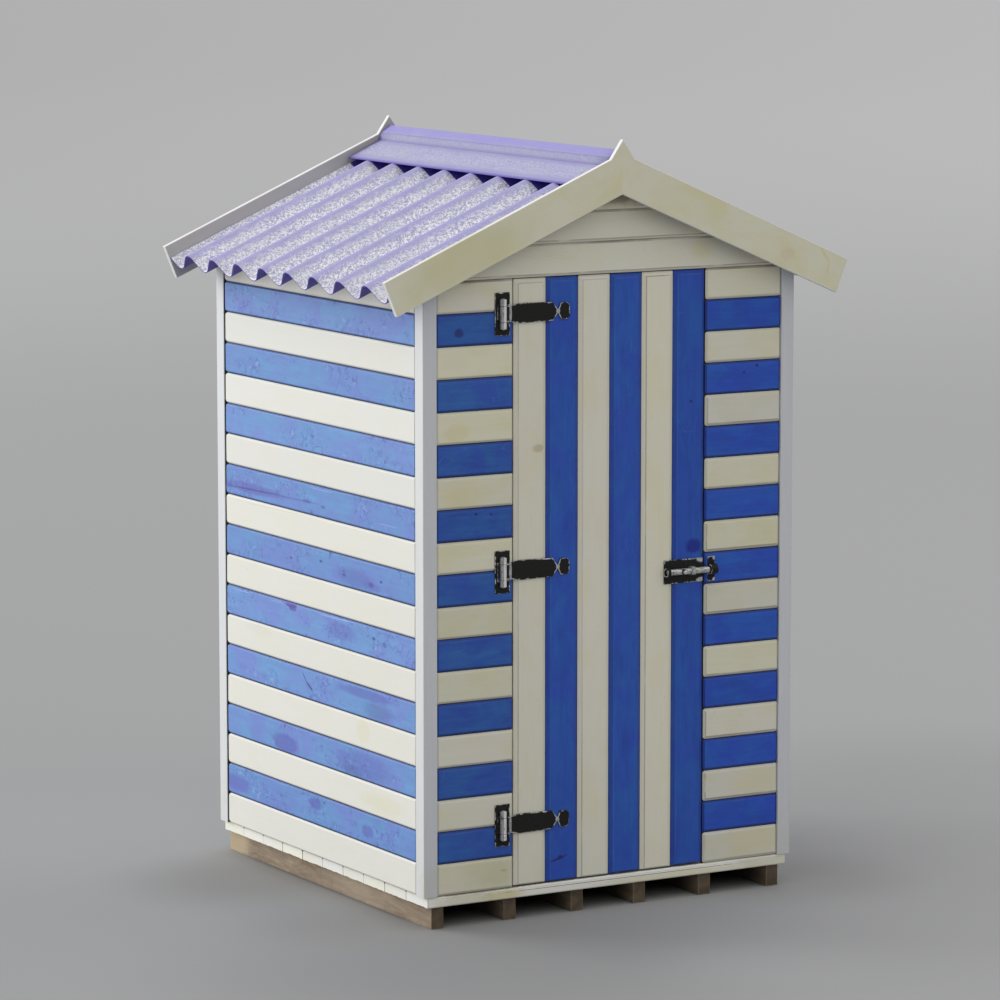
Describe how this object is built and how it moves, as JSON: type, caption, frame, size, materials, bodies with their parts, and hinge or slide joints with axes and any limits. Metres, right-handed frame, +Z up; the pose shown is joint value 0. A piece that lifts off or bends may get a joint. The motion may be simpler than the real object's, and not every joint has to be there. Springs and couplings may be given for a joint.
{
  "type": "beach hut",
  "caption": "Small timber beach hut with striped horizontal boards, a ledged and braced door on tee hinges, a sliding bolt, and a corrugated pitched roof between bargeboards.",
  "frame": {"origin": "on the ground below the middle of the hut, at the bottom centre of its box", "axes": "+Z up; -Y out of the doorway; +X to the right when facing the door"},
  "size_m": [1.68, 1.514, 2.429],
  "materials": {
    "bearer_timber": "weathered bare timber",
    "floor_paint": "worn off-white paint",
    "post_paint": "satin light grey paint",
    "striped_boards": "painted boards in alternate blue and cream",
    "cream_paint": "worn cream paint",
    "bare_timber": "sawn bare softwood",
    "roof_sheeting": "lilac corrugated sheeting, speckled white",
    "barge_paint": "worn cream paint",
    "black_iron": "black paint worn to bright metal at the edges",
    "worn_steel": "dull stained steel"
  },
  "bodies": {
    "hut": {"bearers": "bearer_timber", "floor_deck": "floor_paint", "post_front_left": "post_paint", "post_front_right": "post_paint", "post_back_left": "post_paint", "post_back_right": "post_paint", "wall_left": "striped_boards", "wall_right": "striped_boards", "wall_back": "striped_boards", "front_wall_left": "striped_boards", "front_wall_right": "striped_boards", "front_gable": "cream_paint", "back_gable": "cream_paint", "side_rails": "bare_timber", "back_rails": "bare_timber", "front_rails": "bare_timber", "wall_plates": "bare_timber", "wall_studs": "bare_timber", "door_post_left": "bare_timber", "door_post_right": "bare_timber", "door_head": "bare_timber", "door_stop": "bare_timber", "ridge_beam": "bare_timber", "roof_battens": "bare_timber", "roof_sheet_left": "roof_sheeting", "roof_sheet_right": "roof_sheeting", "ridge_cap": "roof_sheeting", "bargeboard_front_left": "barge_paint", "bargeboard_front_right": "barge_paint", "bargeboard_back_left": "barge_paint", "bargeboard_back_right": "barge_paint", "hinge_plate_bottom": "black_iron", "hinge_plate_middle": "black_iron", "hinge_plate_top": "black_iron", "hinge_pins": "worn_steel", "bolt_keeper": "black_iron"},
    "door": {"door_leaf": "striped_boards", "door_ledges": "bare_timber", "door_braces": "bare_timber", "hinge_strap_bottom": "black_iron", "hinge_strap_middle": "black_iron", "hinge_strap_top": "black_iron", "bolt_plate": "black_iron"},
    "bolt": {"bolt_rod": "worn_steel"}
  },
  "joints": [
    {"name": "door_hinge", "type": "hinge", "parent": "hut", "child": "door", "pos_m": [-0.398, -0.7065, 0], "axis": [0, 0, -1], "range_deg": [0, 150]},
    {"name": "bolt_slide", "type": "slide", "parent": "door", "child": "bolt", "axis": [1, 0, 0], "range_m": [-0.018, 0.02]}
  ]
}
